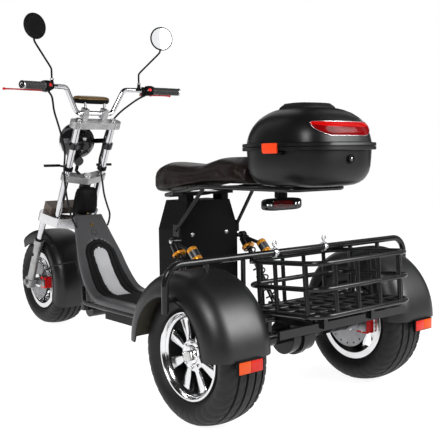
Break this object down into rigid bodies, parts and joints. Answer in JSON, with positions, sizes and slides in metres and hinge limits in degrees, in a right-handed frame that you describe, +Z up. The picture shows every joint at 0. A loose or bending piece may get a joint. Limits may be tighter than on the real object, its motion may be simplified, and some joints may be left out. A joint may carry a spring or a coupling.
{
  "type": "motorized trike",
  "caption": "Motorized trike with a raked steered fork, flat floor and leg shield, long saddle, hinged top case, fendered rear axle and wire cargo basket.",
  "frame": {"origin": "on the ground under the middle of the trike's overall length and width", "axes": "+X towards the front wheel, +Y to the rider's left, +Z up"},
  "size_m": [2.276, 1.142, 1.4438],
  "materials": {
    "tyre": "matt",
    "rim_metal": "polished",
    "disc_steel": "satin",
    "chrome": "polished",
    "fork_metal": "satin",
    "frame_paint": "gloss",
    "body_plastic": "gloss",
    "dark_plastic": "matt",
    "mat_rubber": "matt",
    "insert_grey": "satin",
    "seat_cover": "satin",
    "case_plastic": "satin",
    "case_orange": "gloss",
    "lens_red": "gloss",
    "lens_clear": "gloss",
    "caliper_red": "gloss",
    "gold": "satin",
    "lever_red": "gloss",
    "mirror_glass": "polished",
    "drive_grey": "satin",
    "cable_rubber": "satin"
  },
  "bodies": {
    "chassis": {"axle_rear": "disc_steel", "basket_carrier": "frame_paint", "battery_tray": "dark_plastic", "calipers_rear": "caliper_red", "cargo_basket": "frame_paint", "case_base": "case_plastic", "case_latches": "case_orange", "control_cables": "cable_rubber", "fender_hoop": "frame_paint", "fender_rear_left": "body_plastic", "fender_rear_right": "body_plastic", "foot_insert": "insert_grey", "foot_mat": "mat_rubber", "footboard": "body_plastic", "main_frame": "frame_paint", "neck_cover": "body_plastic", "rear_axle_beam": "drive_grey", "reflectors": "lens_red", "seat": "seat_cover", "seat_pillar": "body_plastic", "seat_rack": "frame_paint", "shock_bodies": "frame_paint", "shock_reservoirs": "gold", "shock_springs": "frame_paint", "tail_lamp": "lens_red"},
    "steering": {"axle_front": "disc_steel", "fork_tubes": "chrome", "fork_sliders": "fork_metal", "yoke": "fork_metal", "fork_bridges": "fork_metal", "handlebar": "frame_paint", "grips": "mat_rubber", "control_pods": "dark_plastic", "levers": "lever_red", "mirrors": "dark_plastic", "mirror_glasses": "mirror_glass", "display": "dark_plastic", "headlight": "dark_plastic", "headlight_lens": "lens_clear", "horn": "dark_plastic", "indicators": "dark_plastic", "fender_front": "body_plastic", "caliper_front": "caliper_red", "yoke_cover": "body_plastic"},
    "front_wheel": {"tyre_front": "tyre", "rim_front": "rim_metal", "disc_front": "disc_steel"},
    "rear_wheel_left": {"tyre_rear_left": "tyre", "rim_rear_left": "rim_metal", "disc_rear_left": "disc_steel"},
    "rear_wheel_right": {"tyre_rear_right": "tyre", "rim_rear_right": "rim_metal", "disc_rear_right": "disc_steel"},
    "case_lid": {"case_lid": "case_plastic", "case_lens": "lens_red", "case_pad": "dark_plastic"}
  },
  "joints": [
    {"name": "steering_pivot", "type": "hinge", "parent": "chassis", "child": "steering", "pos_m": [0.61672, 0, 0.63218], "axis": [-0.454, 0, 0.891], "range_deg": [-35, 35], "deforming": ["control_cables"]},
    {"name": "front_wheel_spin", "type": "hinge", "parent": "steering", "child": "front_wheel", "pos_m": [0.915, 0, 0.223], "axis": [0, 1, 0], "continuous": true},
    {"name": "rear_wheel_left_spin", "type": "hinge", "parent": "chassis", "child": "rear_wheel_left", "pos_m": [-0.785, 0.38, 0.223], "axis": [0, 1, 0], "continuous": true},
    {"name": "rear_wheel_right_spin", "type": "hinge", "parent": "chassis", "child": "rear_wheel_right", "pos_m": [-0.785, -0.38, 0.223], "axis": [0, 1, 0], "continuous": true},
    {"name": "case_lid_hinge", "type": "hinge", "parent": "chassis", "child": "case_lid", "pos_m": [-0.674, 0, 0.861], "axis": [0, 1, 0], "range_deg": [0, 80]}
  ]
}
